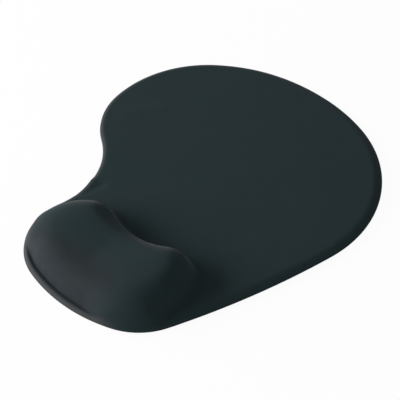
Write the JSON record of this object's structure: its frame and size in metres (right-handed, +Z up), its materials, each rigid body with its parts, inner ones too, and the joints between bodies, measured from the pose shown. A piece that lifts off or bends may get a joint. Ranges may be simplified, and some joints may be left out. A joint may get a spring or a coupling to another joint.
{
  "type": "mouse pad with gel wrist rest",
  "caption": "Contoured mouse pad with a kidney-shaped gel wrist rest under a knit fabric cover, on a non-slip rubber base that lies flat on a desk.",
  "frame": {"origin": "middle of the outline's bounding box, on the desk under the base", "axes": "+Y from the wrist rest to the far edge, +X to the user's right, +Z up from the desk"},
  "size_m": [0.1894, 0.2312, 0.022],
  "materials": {
    "knit_fabric": "fine charcoal knit with a soft sheen",
    "bond_film": "hot-melt film, milky",
    "board_foam": "fine-celled soft foam sheet",
    "bolster_foam": "slow-recovery foam block",
    "gel_film": "clear elastic film",
    "gel": "soft translucent gel",
    "base_rubber": "matt, finely textured for grip"
  },
  "bodies": {
    "root": {"knit_cover": "knit_fabric", "cover_bond_film": "bond_film", "foam_board": "board_foam", "foam_bolster": "bolster_foam", "gel_base_film": "gel_film", "gel_core": "gel", "base_bond_film": "bond_film", "nonslip_base": "base_rubber"}
  },
  "joints": []
}
